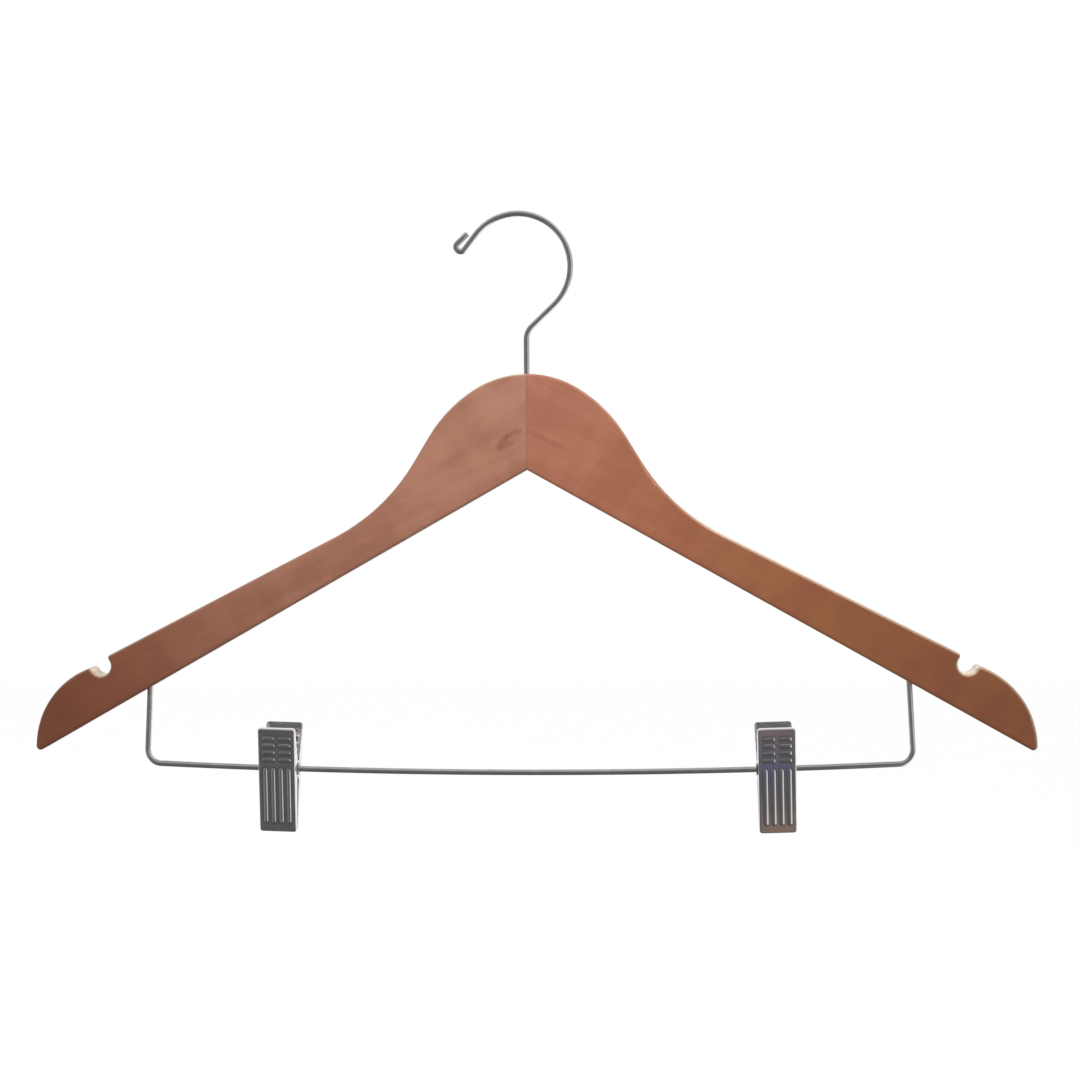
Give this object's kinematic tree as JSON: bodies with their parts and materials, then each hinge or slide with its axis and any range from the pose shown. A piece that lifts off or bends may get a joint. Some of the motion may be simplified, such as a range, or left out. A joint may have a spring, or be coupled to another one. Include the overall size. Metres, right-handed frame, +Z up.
{
  "type": "skirt hanger",
  "caption": "Flat two-arm wooden hanger with a turning chrome wire hook, strap notches, and a bowed chrome bar that carries sliding spring clips for a skirt or trousers.",
  "frame": {"origin": "on the axis that the hook turns about, where a rail touches the inside of the hook", "axes": "+X along the arms to the right as seen from the front, +Y from the front face to the back, +Z up"},
  "size_m": [0.432, 0.0208, 0.268],
  "materials": {
    "wood": "satin stained and lacquered",
    "chrome": "polished",
    "steel": "drawn",
    "tube": "plated",
    "vinyl": "matt"
  },
  "bodies": {
    "hook": {"hook": "chrome"},
    "frame": {"left_arm": "wood", "right_arm": "wood", "hook_retaining_pin": "steel", "trouser_bar": "chrome"},
    "left_carriage": {"left_clip_pivot_tube": "tube"},
    "left_rear": {"left_clip_rear_jaw": "chrome", "left_clip_rear_pad": "vinyl", "left_clip_spring": "steel"},
    "left_front": {"left_clip_front_jaw": "chrome", "left_clip_front_pad": "vinyl"},
    "right_carriage": {"right_clip_pivot_tube": "tube"},
    "right_rear": {"right_clip_rear_jaw": "chrome", "right_clip_rear_pad": "vinyl", "right_clip_spring": "steel"},
    "right_front": {"right_clip_front_jaw": "chrome", "right_clip_front_pad": "vinyl"}
  },
  "joints": [
    {"name": "hook_swivel", "type": "hinge", "parent": "hook", "child": "frame", "pos_m": [0, 0, 0], "axis": [0, 0, 1], "continuous": true},
    {"name": "left_clip_slide", "type": "hinge", "parent": "frame", "child": "left_carriage", "pos_m": [-0.00175, 0, 3.14554], "axis": [0, 1, 0], "range_deg": [-1.66, 0.73]},
    {"name": "left_clip_swing", "type": "hinge", "parent": "left_carriage", "child": "left_rear", "pos_m": [-0.10955, 0, -0.23728], "axis": [0.9995, 0, -0.0319], "continuous": true},
    {"name": "left_clip_open", "type": "hinge", "parent": "left_rear", "child": "left_front", "pos_m": [-0.10955, 0, -0.23728], "axis": [-0.9995, 0, 0.0319], "range_deg": [0, 32], "stiffness_Nm_per_rad": 0.2, "deforming": ["left_clip_spring"]},
    {"name": "right_clip_slide", "type": "hinge", "parent": "frame", "child": "right_carriage", "pos_m": [-0.00175, 0, 3.14554], "axis": [0, -1, 0], "range_deg": [-1.66, 0.73]},
    {"name": "right_clip_swing", "type": "hinge", "parent": "right_carriage", "child": "right_rear", "pos_m": [0.10605, 0, -0.23728], "axis": [0.9995, 0, 0.0319], "continuous": true},
    {"name": "right_clip_open", "type": "hinge", "parent": "right_rear", "child": "right_front", "pos_m": [0.10605, 0, -0.23728], "axis": [-0.9995, 0, -0.0319], "range_deg": [0, 32], "stiffness_Nm_per_rad": 0.2, "deforming": ["right_clip_spring"]}
  ]
}
